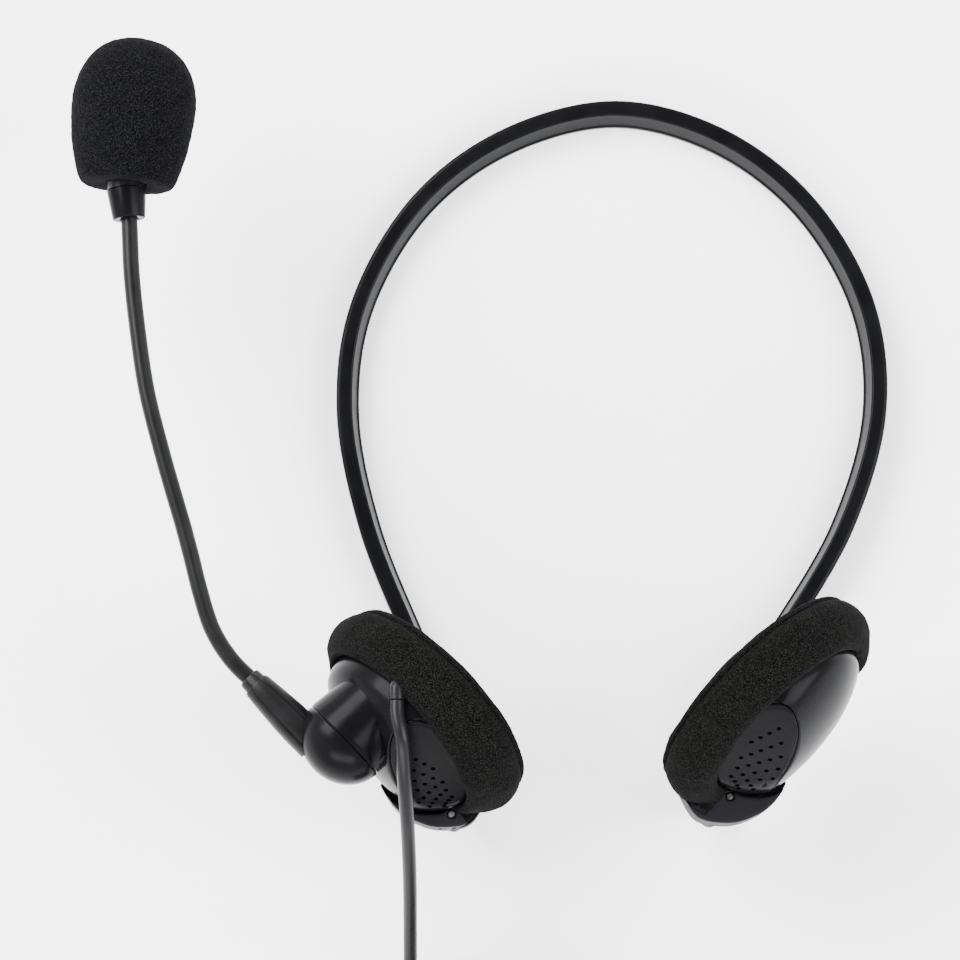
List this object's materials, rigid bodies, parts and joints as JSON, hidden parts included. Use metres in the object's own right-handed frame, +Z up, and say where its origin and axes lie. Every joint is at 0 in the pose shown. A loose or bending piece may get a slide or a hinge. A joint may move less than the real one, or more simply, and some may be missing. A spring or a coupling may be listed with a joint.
{
  "type": "headset microphone",
  "caption": "Behind-the-neck computer headset with ear hooks, two foam-padded ear cups and a swivelling gooseneck microphone under a foam windscreen.",
  "frame": {"origin": "on the table surface, under the middle of the headset's bounding box without its free cord", "axes": "+Z up from the table, +Y towards the arch of the neckband, +X from the microphone's side to the plain side"},
  "size_m": [0.1895, 0.2772, 0.0706],
  "materials": {
    "gloss_black": "glossy black ABS",
    "satin_black": "satin black plastic",
    "ear_foam": "charcoal open-cell foam",
    "mic_foam": "blue-black fine open-cell foam",
    "cable_jacket": "satin black soft PVC",
    "lead": "thin black PVC lead",
    "tie": "matt black strap tie",
    "spring_steel": "plain steel",
    "driver_steel": "plated steel",
    "nickel": "nickel plated",
    "film": "thin clear film"
  },
  "bodies": {
    "neckband": {"neckband": "gloss_black", "band_spring": "spring_steel", "speaker_lead": "lead", "hook_arm_left": "gloss_black", "hook_arm_right": "gloss_black", "hook_pin_left": "spring_steel", "hook_pin_right": "spring_steel", "cord_tube": "cable_jacket", "cord_coil": "cable_jacket", "cord_tie": "tie", "cord_tail": "cable_jacket", "plug_body": "cable_jacket", "plug_jack": "nickel"},
    "cup_left": {"ear_foam_left": "ear_foam", "baffle_left": "satin_black", "driver_frame_left": "driver_steel", "driver_magnet_left": "driver_steel", "driver_diaphragm_left": "film", "housing_left": "gloss_black", "grille_left": "satin_black", "cable_gland": "cable_jacket", "boom_socket": "gloss_black", "boom_screw": "spring_steel", "boom_washer": "nickel"},
    "cup_right": {"ear_foam_right": "ear_foam", "baffle_right": "satin_black", "driver_frame_right": "driver_steel", "driver_magnet_right": "driver_steel", "driver_diaphragm_right": "film", "housing_right": "gloss_black", "grille_right": "satin_black"},
    "boom": {"boom_cap": "gloss_black", "boom_sleeve": "satin_black", "boom_tube_lower": "satin_black"},
    "mic_end": {"boom_tube_upper": "satin_black", "mic_collar": "satin_black", "mic_barrel": "satin_black", "mic_capsule": "nickel"},
    "foam_windscreen": {"windscreen": "mic_foam"}
  },
  "joints": [
    {"name": "cup_tilt_left", "type": "hinge", "parent": "neckband", "child": "cup_left", "pos_m": [-0.00908, -0.08716, 0.02989], "axis": [-0.1711, -0.1711, -0.9703], "range_deg": [-4, 8], "deforming": ["cord_tube"]},
    {"name": "cup_tilt_right", "type": "hinge", "parent": "neckband", "child": "cup_right", "pos_m": [0.05584, -0.08317, 0.02989], "axis": [-0.165, 0.1769, 0.9703], "range_deg": [-4, 8]},
    {"name": "boom_swivel", "type": "hinge", "parent": "cup_left", "child": "boom", "pos_m": [-0.03194, -0.07056, 0.05057], "axis": [-0.7071, -0.7071, 0], "range_deg": [-125, 10]},
    {"name": "boom_bend", "type": "hinge", "parent": "boom", "child": "mic_end", "pos_m": [-0.0694, -0.0188, 0.05057], "axis": [0, 0, 1], "range_deg": [-25, 25]},
    {"name": "windscreen_pull", "type": "slide", "parent": "mic_end", "child": "foam_windscreen", "axis": [-0.1045, 0.9945, 0], "range_m": [0, 0.024]}
  ]
}
